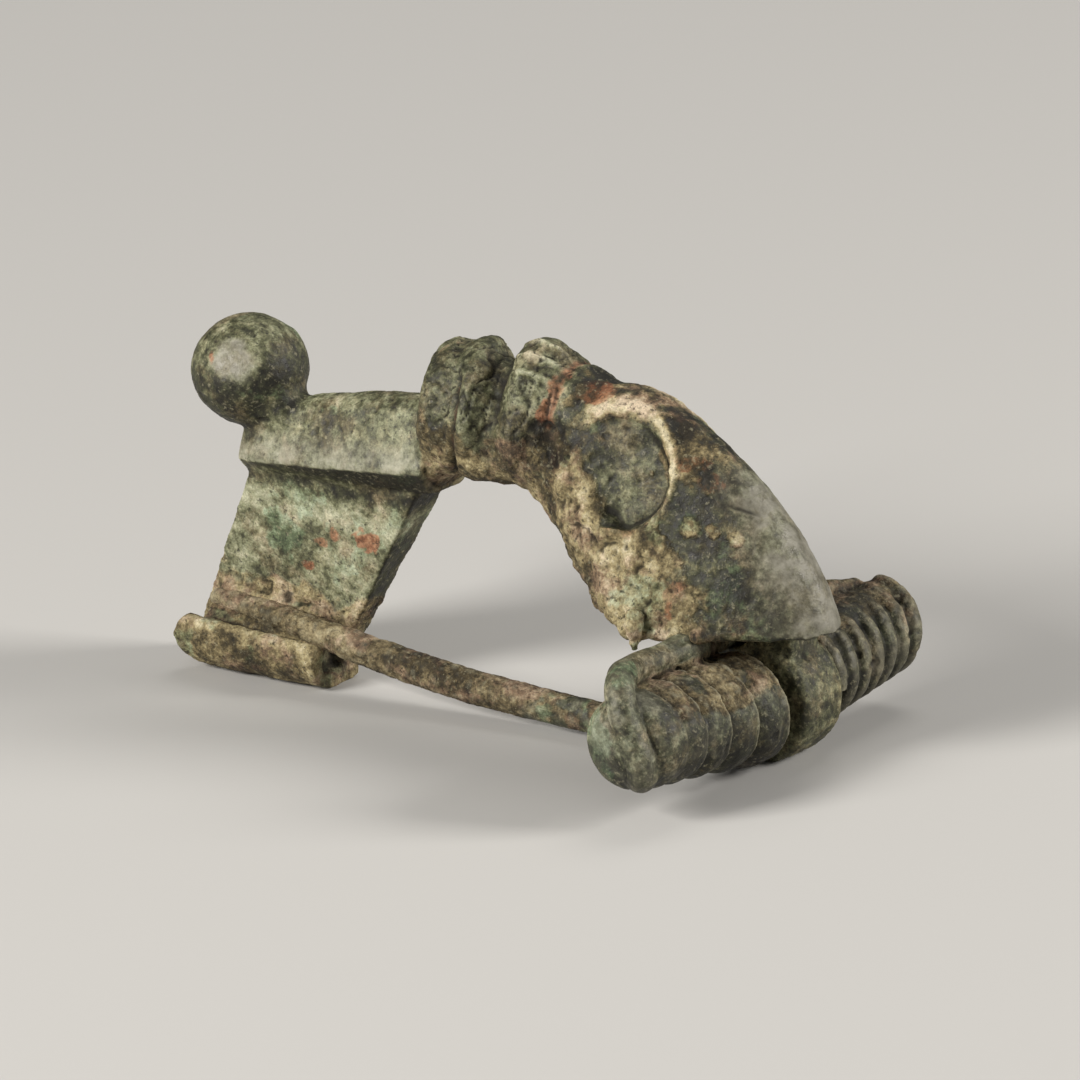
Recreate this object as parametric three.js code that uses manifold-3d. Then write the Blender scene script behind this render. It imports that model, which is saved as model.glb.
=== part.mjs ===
// A Roman bow brooch of the strongly profiled kind, in two pieces of copper alloy:
// a cast bow with its ball foot, catchplate, collar and head, and a bent wire that is
// pin, spring and chord in one. Millimetres, +Z up, X along the bow towards the head.

import * as THREE from "three";
import { mergeVertices } from "three/addons/utils/BufferGeometryUtils.js";
import Module from "manifold-3d";

const wasm = await Module();
wasm.setup();

// ---- driving dimensions, measured from the middle of the spring's underside ----

const ball = { x: -36.75, z: 18.75, radius: 3.65, height: 6.8 };
const neck = { x: -34.7, z: 16.2, radius: 2.65, flatness: 0.55 };

const bar = {
  foot: { x: -36.55, z: 13.6 }, // lower side edge at the foot end
  crest: { x: -21.6, z: 15.35 }, // lower side edge inside the collar
  footScale: 0.8,
  endScale: 0.8, // how much the foot end is rounded in
  height: 4.3, // from side edges to top edge
  halfWidth: 3.1,
  fillet: 0.6, // height of the blunt side edge
  shoulder: { width: 0.5, height: 0.82 }, // where the roof's slope meets its rounded ridge
  underside: 1.7,
};

const plate = {
  topFoot: { x: -35.7, z: 13.6 },
  topHead: { x: -22.1, z: 15.6 },
  baseFoot: { x: -41.0, z: 0.9 },
  baseHead: { x: -30.9, z: 0.0 },
  topThickness: 3.6,
  baseThickness: 1.5,
};

const pin = { tip: 0.45, inCatch: 0.85, thickest: 1.2 };
const clearance = 0.3; // between the wire and the casting
const catchLip = {
  thickness: 1.1,
  height: 3.6,
  floor: 0.95,
  xFoot: -40.2,
  xHead: -29.8,
  fall: 0.5, // how much lower the lip's top is at its head end
};

const collar = {
  x: [-22.9, -10.6],
  axisZ: [18.9, 19.1],
  waist: 3.3,
  rings: [
    { x: -21.6, height: 1.0, width: 1.5 },
    { x: -19.3, height: 1.35, width: 1.1 },
    { x: -15.4, height: 1.0, width: 1.7 },
  ],
  grooves: [
    { x: -20.6, height: 0.4, width: 0.42 },
    { x: -17.35, height: 0.35, width: 0.5 },
  ],
  knob: { x: -14.1, height: 1.15, width: 3.0 }, // on top of the last ring only
  underside: 0.7, // the rings' height underneath, as a share of their height on top
  obliquity: 0.3, // the rings' near side lies this much further towards the head, per mm
  topLean: 0.1,
  flatness: 0.97,
};

const bow = { steps: 26, sides: 32 };
const scoop = { t: 0.36, share: 0.66, radius: 3.4, depth: 0.5, tilt: 0.08 };

const springX = 0.3;
const nearCoil = {
  start: -1.35,
  pitch: 2.55,
  turns: 5,
  wire: 1.12,
  axisZ: [3.75, 5.0], // at the lug and at the end
  radius: [3.55, 3.05], // outside
  lead: 0.2, // how far the tops of the turns lie back towards the lug, as a share of the pitch
};
const farCoil = {
  start: 13.6,
  end: 5.2,
  turns: 6.3,
  wire: 0.6,
  axisZ: [3.9, 4.8],
  radius: 3.1,
};
const stepsPerTurn = 13;
const chord = { x: -1.2, z: 8.1, wire: 0.8 };
const lug = {
  near: 0.1,
  far: 4.2,
  radius: 3.95,
  nearChamfer: 0.28,
  farChamfer: 0.6,
  stem: 3.0, // length of the block that joins the band to the head, behind the chord
  stemTop: 9.7,
};

// ---- solids ----

/** A closed three.js geometry as a manifold solid, with its shared vertices merged. */
function solidOf(geometry) {
  const bare = geometry.clone();
  bare.deleteAttribute("normal");
  bare.deleteAttribute("uv");
  const merged = mergeVertices(bare, 1e-4);
  const triVerts = new Uint32Array(merged.index.array);
  const vertProperties = merged.attributes.position.array;
  return new wasm.Manifold(new wasm.Mesh({ numProp: 3, vertProperties, triVerts }));
}

/** A manifold solid back as a three.js geometry. */
function geometryOf(solid) {
  const mesh = solid.getMesh();
  const geometry = new THREE.BufferGeometry();
  geometry.setAttribute("position", new THREE.BufferAttribute(mesh.vertProperties, 3));
  geometry.setIndex(new THREE.BufferAttribute(mesh.triVerts, 1));
  geometry.computeVertexNormals();
  return geometry;
}

/** Moves every vertex of a geometry by a function of its place. */
function reshape(geometry, place) {
  const position = geometry.attributes.position;
  const point = new THREE.Vector3();
  for (let i = 0; i < position.count; i++) {
    point.fromBufferAttribute(position, i);
    place(point);
    position.setXYZ(i, point.x, point.y, point.z);
  }
  return geometry;
}

/**
 * A closed form drawn from end to end: a sphere's rings are laid out along the form.
 * place(t, angle) gives a point, t from 0 to 1 along it and angle around it; the two
 * poles close the ends at centre(t).
 */
function drawnForm(sides, steps, place, centre) {
  const geometry = new THREE.SphereGeometry(1, sides, steps);
  const position = geometry.attributes.position;
  const uv = geometry.attributes.uv;
  for (let i = 0; i < position.count; i++) {
    const row = Math.round((1 - uv.getY(i)) * steps);
    const pole = row === 0 || row === steps;
    const t = THREE.MathUtils.clamp((row - 1) / (steps - 2), 0, 1);
    const point = pole ? centre(t) : place(t, 2 * Math.PI * uv.getX(i));
    position.setXYZ(i, point.x, point.y, point.z);
  }
  return solidOf(geometry);
}

/** A round wire along a curve, with one radius for each of the curve's points. */
function wireAlong(path, radii, sides) {
  const steps = radii.length - 1;
  const tangents = radii.map((_, i) => path.getTangent(i / steps));
  const normal = new THREE.Vector3(0, 1, 0).cross(tangents[0]).normalize();
  const normals = tangents.map((tangent) => {
    normal.addScaledVector(tangent, -normal.dot(tangent)).normalize();
    return normal.clone();
  });
  const place = (t, angle) => {
    const i = Math.round(t * steps);
    const side = normals[i].clone().cross(tangents[i]);
    return path
      .getPoint(i / steps)
      .addScaledVector(normals[i], radii[i] * Math.cos(angle))
      .addScaledVector(side, radii[i] * Math.sin(angle));
  };
  return drawnForm(sides, steps + 2, place, (t) => path.getPoint(t));
}

const mix = THREE.MathUtils.lerp;
const ease = THREE.MathUtils.smoothstep;
const bump = (x, { x: middle, height, width }, power = 2) =>
  height * Math.exp(-(Math.abs((x - middle) / width) ** power));

// ---- the cast bow ----

function makeBall() {
  const knob = new THREE.SphereGeometry(ball.radius, 26, 18);
  knob.rotateX(Math.PI / 2);
  knob.scale(1, 1, ball.height / (2 * ball.radius));
  knob.translate(ball.x, 0, ball.z);
  const link = new THREE.Vector3(neck.x - ball.x, 0, neck.z - ball.z);
  const stem = new THREE.CapsuleGeometry(neck.radius, link.length(), 6, 20);
  stem.translate(0, link.length() / 2, 0);
  stem.scale(1, 1, neck.flatness);
  const turn = new THREE.Quaternion().setFromUnitVectors(new THREE.Vector3(0, 1, 0), link.normalize());
  stem.applyQuaternion(turn);
  stem.translate(ball.x, 0, ball.z);
  return solidOf(knob).add(solidOf(stem));
}

/** The foot bar: a roof-like section with sharp side edges, smaller at the foot. */
function makeBar() {
  const { height, halfWidth, underside, fillet, shoulder } = bar;
  const blunt = halfWidth * 0.93;
  const inner = halfWidth * shoulder.width;
  const slopeTop = height * shoulder.height;
  const section = new THREE.Shape();
  section.moveTo(-halfWidth, 0);
  section.lineTo(-blunt, fillet);
  section.lineTo(-inner, slopeTop);
  section.quadraticCurveTo(0, 2 * height - slopeTop, inner, slopeTop);
  section.lineTo(blunt, fillet);
  section.lineTo(halfWidth, 0);
  section.lineTo(inner, -underside);
  section.lineTo(-inner, -underside);
  section.closePath();
  const geometry = new THREE.ExtrudeGeometry(section, {
    depth: 1,
    steps: 10,
    bevelEnabled: false,
    curveSegments: 5,
  });
  reshape(geometry, (p) => {
    const t = p.z;
    const size = mix(bar.footScale, 1, ease(t, 0, 0.75)) * mix(bar.endScale, 1, ease(t, -0.02, 0.1));
    p.set(mix(bar.foot.x, bar.crest.x, t), p.x * size, mix(bar.foot.z, bar.crest.z, t) + p.y * size);
  });
  return solidOf(geometry);
}

/** The catchplate: a leaning four-sided plate, thicker at the top. */
function makePlate() {
  const { topFoot, topHead, baseFoot, baseHead } = plate;
  const outline = new THREE.Shape();
  outline.moveTo(topFoot.x, topFoot.z);
  outline.lineTo(baseFoot.x, baseFoot.z);
  outline.lineTo(baseHead.x, baseHead.z);
  outline.lineTo(topHead.x, topHead.z);
  outline.closePath();
  const geometry = new THREE.ExtrudeGeometry(outline, { depth: 1, steps: 2, bevelEnabled: false });
  reshape(geometry, (p) => {
    const up = THREE.MathUtils.clamp(p.y / topHead.z, 0, 1);
    const thickness = mix(plate.baseThickness, plate.topThickness, up);
    p.set(p.x, (p.z - 0.5) * thickness, p.y);
  });
  geometry.index = null;
  return solidOf(flipped(geometry));
}

/** Turns every face of a non-indexed geometry round. */
function flipped(geometry) {
  const position = geometry.attributes.position;
  for (let i = 0; i < position.count; i += 3) {
    const b = new THREE.Vector3().fromBufferAttribute(position, i + 1);
    const c = new THREE.Vector3().fromBufferAttribute(position, i + 2);
    position.setXYZ(i + 1, c.x, c.y, c.z);
    position.setXYZ(i + 2, b.x, b.y, b.z);
  }
  return geometry;
}

/** The catch: the plate's lower edge turned up into a trough that is open to the top. */
function makeCatch() {
  const face = -plate.baseThickness / 2;
  const troughWidth = 2 * (pin.inCatch + clearance);
  const inner = face - troughWidth;
  const outer = inner - catchLip.thickness;
  const { height, floor, thickness } = catchLip;
  const section = new THREE.Shape();
  section.moveTo(-face, 0.5);
  section.quadraticCurveTo(-face, 0, -face - 0.6, 0);
  section.lineTo(outer + 2.3, 0);
  section.bezierCurveTo(outer + 0.9, 0.1, outer, 0.9, outer, 2.1);
  section.lineTo(outer, height - thickness / 2);
  section.absarc(outer + thickness / 2, height - thickness / 2, thickness / 2, Math.PI, 0, true);
  section.lineTo(inner, floor + 0.7);
  section.quadraticCurveTo(inner, floor, inner + 0.7, floor);
  section.lineTo(face - 0.5, floor);
  section.quadraticCurveTo(face, floor, face, floor + 0.5);
  section.lineTo(face, 3);
  section.lineTo(-face, 3);
  section.closePath();
  const length = catchLip.xHead - catchLip.xFoot;
  const trough = new THREE.ExtrudeGeometry(section, {
    depth: length,
    steps: 1,
    bevelEnabled: false,
    curveSegments: 5,
  });
  reshape(trough, (p) => {
    const drop = catchLip.fall * ease(p.y, 1.2, height) * (p.z / length) ** 1.5;
    p.set(catchLip.xFoot + p.z, p.x, p.y - drop);
  });
  const side = new THREE.Shape();
  side.moveTo(catchLip.xHead, -1);
  side.lineTo(catchLip.xHead, 6);
  side.lineTo(catchLip.xFoot + 2, 6);
  side.lineTo(catchLip.xFoot + 1.2, height);
  side.quadraticCurveTo(catchLip.xFoot, height - 0.2, catchLip.xFoot, height - 1.4);
  side.quadraticCurveTo(catchLip.xFoot, 0.6, catchLip.xFoot + 2.4, 0);
  side.lineTo(catchLip.xFoot + 3, -1);
  side.closePath();
  const span = 12;
  const trim = new THREE.ExtrudeGeometry(side, { depth: span, bevelEnabled: false, curveSegments: 5 });
  trim.rotateX(Math.PI / 2);
  trim.translate(0, span / 2, 0);
  return solidOf(trough).intersect(solidOf(trim));
}

/** The collar at the crest: swelling rings that run a little oblique, and a knob on top. */
function makeCollar() {
  const [x0, x1] = collar.x;
  const place = (t, angle) => {
    const x = mix(x0, x1, t);
    const top = Math.max(0, Math.cos(angle));
    const share = mix(collar.underside, 1, (1 + Math.cos(angle)) / 2);
    const swell = (sum, ring) => sum + bump(x, ring);
    const rings = share * (collar.rings.reduce(swell, 0) - collar.grooves.reduce(swell, 0));
    const radius = collar.waist + rings + top ** 3 * bump(x, collar.knob, 4);
    const y = radius * Math.sin(angle) * collar.flatness;
    const oblique = -y * collar.obliquity * (1 - ease(x, -17, -13.5));
    const forward = collar.topLean * Math.cos(angle) * radius;
    return new THREE.Vector3(x + oblique + forward, y, mix(...collar.axisZ, t) + radius * Math.cos(angle));
  };
  return drawnForm(32, 34, place, (t) => new THREE.Vector3(mix(x0, x1, t), 0, mix(...collar.axisZ, t)));
}

/**
 * The bow and head: sections between a top line and an underside line, rounded at the
 * crest and turning into a flat D-shaped rim, pointed towards the front, over the spring.
 */
const topLine = new THREE.SplineCurve([
  new THREE.Vector2(-13.5, 22.4),
  new THREE.Vector2(-8.6, 22.5),
  new THREE.Vector2(-4.6, 21.4),
  new THREE.Vector2(-0.4, 18.9),
  new THREE.Vector2(3.0, 15.7),
  new THREE.Vector2(5.5, 12.0),
  new THREE.Vector2(6.55, 9.2),
]);
const underLine = new THREE.SplineCurve([
  new THREE.Vector2(-16.2, 15.4),
  new THREE.Vector2(-14.6, 14.3),
  new THREE.Vector2(-12.9, 12.6),
  new THREE.Vector2(-10.9, 10.8),
  new THREE.Vector2(-8.9, 9.4),
  new THREE.Vector2(-7.0, 8.8),
  new THREE.Vector2(-5.6, 8.8),
]);

function bowSection(t, share) {
  const top = topLine.getPoint(t);
  const under = underLine.getPoint(t);
  const halfWidth = mix(3.6, 4.3, ease(t, 0, 0.4)) + 2.45 * ease(t, 0.35, 1);
  const crest = mix(2.6, 1.0, ease(t, 0.2, 1));
  const base = mix(4, 18, ease(t, 0.2, 1));
  const width = halfWidth * Math.sqrt(1 - share ** crest) * Math.sqrt(1 - (1 - share) ** base);
  return { x: mix(under.x, top.x, share), z: mix(under.y, top.y, share), width };
}

function makeBow() {
  const place = (t, angle) => {
    const share = (1 + Math.cos(angle)) / 2;
    const section = bowSection(t, share);
    return new THREE.Vector3(section.x, Math.sign(Math.sin(angle)) * section.width, section.z);
  };
  const centre = (t) => {
    const section = bowSection(t, 0.45);
    return new THREE.Vector3(section.x, 0, section.z);
  };
  return drawnForm(bow.sides, bow.steps, place, centre);
}

/** A point of the bow's flank and the outward normal there, on the side given by its sign. */
function flankAt(t, share, side) {
  const at = (u, v) => {
    const section = bowSection(u, v);
    return new THREE.Vector3(section.x, side * section.width, section.z);
  };
  const point = at(t, share);
  const along = at(t + 0.01, share).sub(point);
  const up = at(t, share + 0.01).sub(point);
  return { point, normal: along.cross(up).normalize().multiplyScalar(-side) };
}

/** A round scoop in each flank, crisp at its head side and running out at its foot side. */
function makeScoop(side) {
  const { point, normal } = flankAt(scoop.t, scoop.share, side);
  const tilted = normal.clone().add(new THREE.Vector3(scoop.tilt, 0, 0)).normalize();
  const disc = new THREE.CylinderGeometry(scoop.radius, scoop.radius * 0.96, 4, 32);
  disc.translate(0, 2 - scoop.depth, 0);
  disc.applyQuaternion(new THREE.Quaternion().setFromUnitVectors(new THREE.Vector3(0, 1, 0), tilted));
  disc.translate(point.x, point.y, point.z);
  return solidOf(disc);
}

/** The lug under the head, round the middle of the spring, and its slot for the chord. */
function makeLug() {
  const width = lug.far - lug.near;
  const half = width / 2;
  const middle = (lug.far + lug.near) / 2;
  const profile = [
    new THREE.Vector2(0, -half),
    new THREE.Vector2(lug.radius - lug.nearChamfer, -half),
    new THREE.Vector2(lug.radius, -half + lug.nearChamfer),
    new THREE.Vector2(lug.radius, half - lug.farChamfer),
    new THREE.Vector2(lug.radius - lug.farChamfer * 0.7, half),
    new THREE.Vector2(0, half),
  ];
  const sunk = 0.12; // the band's underside is worn flat where the brooch stands on it
  const band = new THREE.LatheGeometry(profile, 36);
  band.translate(springX, middle, lug.radius - sunk);
  const stemHeight = lug.stemTop - 1.65 * lug.radius;
  const stem = new THREE.BoxGeometry(lug.stem, 0.7 * width, stemHeight);
  const behindChord = chord.x + chord.wire + clearance;
  stem.translate(behindChord + lug.stem / 2, middle - 0.3, lug.stemTop - stemHeight / 2);
  return solidOf(band).add(solidOf(stem));
}

function makeChordSlot() {
  const slot = new THREE.CylinderGeometry(chord.wire + clearance, chord.wire + clearance, 7, 16);
  slot.translate(chord.x, (lug.far + lug.near) / 2, chord.z);
  return solidOf(slot);
}

// ---- the wire: pin, near coils, end loop, chord and far coils ----

/**
 * Points along a coil, stepsPerTurn to a turn; at(turn, share) gives its place, axis height
 * and radius. Angle 0 is underneath and a quarter turn on is the head side.
 */
function coilPoints(turns, firstAngle, at) {
  const steps = Math.round(Math.abs(turns) * stepsPerTurn);
  return Array.from({ length: steps + 1 }, (_, i) => {
    const turn = (turns * i) / steps;
    const angle = firstAngle + 2 * Math.PI * turn;
    const { y, axisZ, radius } = at(Math.abs(turn), i / steps);
    return new THREE.Vector3(springX + radius * Math.sin(angle), y, axisZ - radius * Math.cos(angle));
  });
}

/** A wire through a list of stretches, each a list of points with one wire radius. */
function wireThrough(stretches) {
  const points = stretches.flatMap(([, list]) => list);
  const radii = stretches.flatMap(([radius, list]) => list.map(() => radius));
  const path = new THREE.CatmullRomCurve3(points, false, "centripetal");
  return wireAlong(path, radii, 8);
}

const at = (x, y, z) => new THREE.Vector3(x, y, z);

/** The pin, and the near coils wound on from it. */
function makePinAndNearCoils() {
  const { start, pitch, turns, wire, axisZ, radius, lead } = nearCoil;
  const coils = coilPoints(turns, 0, (turn, share) => {
    const along = Math.min(turn - (lead * (1 - Math.cos(2 * Math.PI * turn))) / 2, turns - 0.5);
    const rise = 1 - (1 - share) ** 2;
    return { y: start - pitch * along, axisZ: mix(...axisZ, rise), radius: mix(...radius, share) - wire };
  });
  return wireThrough([
    [pin.tip, [at(-38.9, -1.9, 4.4)]],
    [pin.inCatch, [at(-34.5, -1.9, 3.95), at(-30.4, -1.9, 3.3)]],
    [pin.thickest, [at(-25, -1.85, 2.45), at(-19.5, -1.7, 1.8)]],
    [wire, [at(-13, -1.45, 1.38), at(-7, -1.38, 1.25), at(-3, -1.35, 1.22)]],
    [wire, coils],
  ]);
}

/** The end loop up across the near end, and the chord from there to the far end. */
function makeChord() {
  const endY = nearCoil.start - nearCoil.pitch * (nearCoil.turns - 0.5);
  const { x, z, wire } = chord;
  return wireThrough([
    [0.95, [at(springX, endY, 3.1), at(1.6, endY - 0.7, 3.3), at(1.75, endY - 1.1, 4.4)]],
    [0.95, [at(1.25, endY - 1.2, 5.9), at(0.6, endY - 1.15, 7.4), at(0, endY - 0.6, 8.5)]],
    [0.9, [at(-0.7, endY + 0.7, 8.8), at(x, endY + 2.4, 8.7)]],
    [wire, [at(x, -7.5, 8.4), at(x, -4.5, 8.0), at(x, -1, z), at(x, 4.5, z)]],
    [wire * 0.9, [at(x - 0.3, 8, 7.9), at(x - 0.2, 10.6, 7.5)]],
    [farCoil.wire, [at(x + 0.4, 12.6, 7.3)]],
  ]);
}

/** The thin far coils. */
function makeFarCoils() {
  const { start, end, turns, wire, axisZ, radius } = farCoil;
  const coils = coilPoints(-turns, Math.PI * 1.05, (turn, share) => {
    return { y: mix(start, end, share), axisZ: mix(axisZ[1], axisZ[0], share), radius: radius - wire };
  });
  return wireThrough([[wire, coils]]);
}

// ---- the brooch ----

const bronze = {
  bow: new THREE.MeshStandardMaterial({ color: 0x6f735c, roughness: 0.5, metalness: 0.55 }),
  wire: new THREE.MeshStandardMaterial({ color: 0x5f6650, roughness: 0.7, metalness: 0.35 }),
};

function addPiece(group, name, solid, material) {
  const mesh = new THREE.Mesh(geometryOf(solid), material);
  mesh.name = name;
  group.add(mesh);
}

/** Everything under the surface that the brooch stands on. */
function makeGround() {
  const depth = 5;
  const below = new THREE.BoxGeometry(2 * Math.abs(plate.baseFoot.x), 40, depth);
  below.translate(plate.baseFoot.x / 2, 0, -depth / 2);
  return solidOf(below);
}

const casting = makeBow()
  .add(makeCollar())
  .add(makeBar())
  .add(makeBall())
  .add(makePlate())
  .add(makeCatch())
  .subtract(makeScoop(-1))
  .subtract(makeScoop(1))
  .add(makeLug())
  .subtract(makeChordSlot())
  .subtract(makeGround());

const brooch = new THREE.Group();
addPiece(brooch, "bow", casting, bronze.bow);
const wire = makePinAndNearCoils().add(makeChord()).add(makeFarCoils());
addPiece(brooch, "spring_and_pin", wire, bronze.wire);
const middle = new THREE.Box3().setFromObject(brooch).getCenter(new THREE.Vector3());
brooch.position.set(-middle.x, -middle.y, 0);

export default brooch;
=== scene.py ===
import bpy
import numpy as np
from mathutils import Matrix, Vector


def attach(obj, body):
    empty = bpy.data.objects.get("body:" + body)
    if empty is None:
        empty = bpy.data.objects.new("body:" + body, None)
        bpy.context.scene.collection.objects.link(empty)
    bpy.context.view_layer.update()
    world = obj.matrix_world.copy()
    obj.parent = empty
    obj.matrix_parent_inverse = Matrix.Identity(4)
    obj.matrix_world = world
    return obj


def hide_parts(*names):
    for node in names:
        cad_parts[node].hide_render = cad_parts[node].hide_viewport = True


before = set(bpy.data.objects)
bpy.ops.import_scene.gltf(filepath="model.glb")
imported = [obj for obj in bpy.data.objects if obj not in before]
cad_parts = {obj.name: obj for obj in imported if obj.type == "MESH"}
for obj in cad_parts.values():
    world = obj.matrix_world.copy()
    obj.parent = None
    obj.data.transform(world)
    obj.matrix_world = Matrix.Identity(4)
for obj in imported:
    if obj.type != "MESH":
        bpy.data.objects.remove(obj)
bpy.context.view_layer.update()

# ---- The cast bow ----
# The brooch's body is one bronze casting: ball foot, foot bar, catchplate, ringed collar,
# arched bow and head. Its skin is relaxed from the casting's solid form, then worn, pitted
# and crusted over as metal that lay in the ground for centuries.

MM = 1000.0  # millimetres in a metre; every size below is in millimetres
MIDDLE = np.array([-0.275, 0.0, 0.0])  # the point that all places are given from, in the frame
MID_PLANE = 0.39  # y of the casting's own plane of symmetry
LOWEST = 0.02  # the height of the lowest skin, just clear of the table


def solid_form(node):
    """A node's points in millimetres, equal ones merged, and its triangles."""
    mesh = node.data
    points = np.empty(len(mesh.vertices) * 3)
    mesh.vertices.foreach_get("co", points)
    corners = np.empty(len(mesh.loops), dtype=np.int64)
    mesh.loops.foreach_get("vertex_index", corners)
    points = np.round(points.reshape(-1, 3) * MM - MIDDLE, 4)
    points, merged = np.unique(points, axis=0, return_inverse=True)
    return points, merged.reshape(-1)[corners].reshape(-1, 3).tolist()


def curve_through(points, steps):
    """A smooth curve through points: cubic spans, slopes weighed by the roots of the spans' lengths."""
    p = np.asarray(points, dtype=float)
    t = np.sqrt(np.linalg.norm(np.diff(p, axis=0), axis=1))[:, None]
    v = np.diff(p, axis=0) / t
    inner = (v[:-1] * t[1:] + v[1:] * t[:-1]) / (t[1:] + t[:-1])
    slope = np.concatenate([v[:1], inner, v[-1:]])
    s = np.linspace(0, 1, steps, endpoint=False)[None, :, None]
    a, b, m, n = (q[:, None, :] for q in (p[:-1], p[1:], slope[:-1] * t, slope[1:] * t))
    ends = a * (2 * s**3 - 3 * s**2 + 1) + b * (3 * s**2 - 2 * s**3)
    bends = m * (s**3 - 2 * s**2 + s) + n * (s**3 - s**2)
    return np.concatenate([(ends + bends).reshape(-1, 3), p[-1:]])


def closed_form(rings, start, end):
    """Points and faces of rings joined in quads, with a fan of triangles to a point at each end."""
    count, sides, _ = rings.shape
    points = np.concatenate([rings.reshape(-1, 3), [start, end]])
    a = np.arange(sides)
    b = (a + 1) % sides
    ring = np.arange(count - 1)[:, None] * sides
    quads = np.stack([ring + a, ring + b, ring + sides + b, ring + sides + a], axis=-1).reshape(-1, 4)
    last = (count - 1) * sides
    fans = [
        np.stack([b, a, np.full(sides, count * sides)], axis=-1),
        np.stack([last + a, last + b, np.full(sides, count * sides + 1)], axis=-1),
    ]
    return points, quads.tolist() + np.concatenate(fans).tolist()


def tube(path, radii, aside, section=np.ones_like, sides=28):
    """A closed tube: at each point of the path a ring of the section, held square by the direction aside."""
    tangent = np.gradient(path, axis=0)
    tangent /= np.linalg.norm(tangent, axis=1, keepdims=True)
    first = aside - (tangent @ np.asarray(aside, float))[:, None] * tangent
    first /= np.linalg.norm(first, axis=1, keepdims=True)
    second = np.cross(tangent, first)
    angle = np.linspace(0, 2 * np.pi, sides, endpoint=False)
    reach = np.broadcast_to(radii, len(path))[:, None] * section(angle)[None, :]
    rings = path[:, None, :] + (reach * np.cos(angle))[..., None] * first[:, None, :]
    rings = rings + (reach * np.sin(angle))[..., None] * second[:, None, :]
    return closed_form(rings, path[0], path[-1])


def one_object(name, forms):
    """An object made of closed forms, each given as points in millimetres and faces."""
    starts = np.cumsum([0] + [len(points) for points, _ in forms])
    faces = [[start + corner for corner in face] for start, form in zip(starts, forms) for face in form[1]]
    mesh = bpy.data.meshes.new(name)
    mesh.from_pydata((np.concatenate([points for points, _ in forms]) + MIDDLE) / MM, [], faces)
    made = bpy.data.objects.new(name, mesh)
    bpy.context.scene.collection.objects.link(made)
    return made


def even_skin(made, cell):
    """The outer surface of an object's overlapping closed forms, as one skin of even square faces."""
    remesh = made.modifiers.new("even skin", "REMESH")
    remesh.mode = "VOXEL"
    remesh.voxel_size = cell / MM
    graph = bpy.context.evaluated_depsgraph_get()
    skin = bpy.data.meshes.new_from_object(made.evaluated_get(graph))
    made.modifiers.clear()
    old = made.data
    made.data = skin
    bpy.data.meshes.remove(old)
    skin.name = made.name
    return skin


def read_skin(skin):
    """The skin's points in millimetres, its edges and its faces as four corner numbers each."""
    points = np.empty(len(skin.vertices) * 3)
    skin.vertices.foreach_get("co", points)
    edges = np.empty(len(skin.edges) * 2, dtype=np.int64)
    skin.edges.foreach_get("vertices", edges)
    corners = np.empty(len(skin.polygons) * 4, dtype=np.int64)
    skin.polygons.foreach_get("vertices", corners)
    return points.reshape(-1, 3) * MM - MIDDLE, edges.reshape(-1, 2), corners.reshape(-1, 4)


def relaxed(points, edges, rounds, pull):
    """Each round moves every point by its pull, a share of the way to the mean of its neighbours."""
    a, b = edges.T
    count = np.bincount(edges.ravel(), minlength=len(points))[:, None]
    for _ in range(rounds):
        total = np.stack(
            [
                np.bincount(a, points[b, k], len(points)) + np.bincount(b, points[a, k], len(points))
                for k in range(3)
            ],
            axis=1,
        )
        points = points + np.reshape(pull, (-1, 1)) * (total / count - points)
    return points


def rounded(points, edges, rounds, pull):
    """The relaxed surface, with the broad part of what it shrank by given back."""
    soft = relaxed(points, edges, rounds, pull)
    return soft + relaxed(points - soft, edges, rounds, pull)


def outward(points, faces):
    """Unit normals at the points: the sum of the cross products of the diagonals of the faces round each."""
    p = points[faces]
    face = np.cross(p[:, 2] - p[:, 0], p[:, 3] - p[:, 1])
    total = np.stack(
        [np.bincount(faces.ravel(), np.repeat(face[:, k], 4), len(points)) for k in range(3)], axis=1
    )
    return total / np.maximum(np.linalg.norm(total, axis=1, keepdims=True), 1e-12)


def ease(x, low, high):
    """0 below low, 1 above high, and a smooth S between them."""
    t = np.clip((x - low) / (high - low), 0, 1)
    return t * t * (3 - 2 * t)


def lattice(points, size, seed):
    """Noise from -1 to 1: fixed random values at the corners of a cubic lattice, blended inside the cubes."""
    q = points / size + 31.7 * seed
    cell = np.floor(q).astype(np.int64)
    f = q - cell
    f = f * f * f * (f * (f * 6 - 15) + 10)
    value = np.zeros(len(points))
    for dx in (0, 1):
        for dy in (0, 1):
            for dz in (0, 1):
                key = (cell + (dx, dy, dz)) * (73856093, 19349663, 83492791)
                key = (key[:, 0] ^ key[:, 1] ^ key[:, 2]) + 2654435 * seed
                key = (key ^ (key >> 13)) * 1274126177
                corner = ((key ^ (key >> 16)) & 0xFFFF) / 32767.5 - 1
                weight = (
                    np.where(dx, f[:, 0], 1 - f[:, 0])
                    * np.where(dy, f[:, 1], 1 - f[:, 1])
                    * np.where(dz, f[:, 2], 1 - f[:, 2])
                )
                value += weight * corner
    return value


def cloud(points, size, seed, octaves=4):
    """Lattice noise summed over octaves, each half the size and a little over half the height of the last."""
    return sum(0.55**k * lattice(points, size / 2**k, seed + k) for k in range(octaves))


def patch(points, centre, reach, ragged=0.35, seed=1):
    """1 in an ellipsoid round a centre and 0 outside it, with an edge made ragged by noise."""
    away = np.linalg.norm((points - centre) / np.broadcast_to(reach, 3), axis=1)
    return 1 - ease(away + ragged * cloud(points, 1.1, seed), 0.55, 1.15)


def cracks(points, stretch, size, seed, width):
    """1 along the thin lines where a stretched noise passes through zero."""
    return np.exp(-((cloud(points * stretch, size, seed, octaves=2) / width) ** 2))


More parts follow.
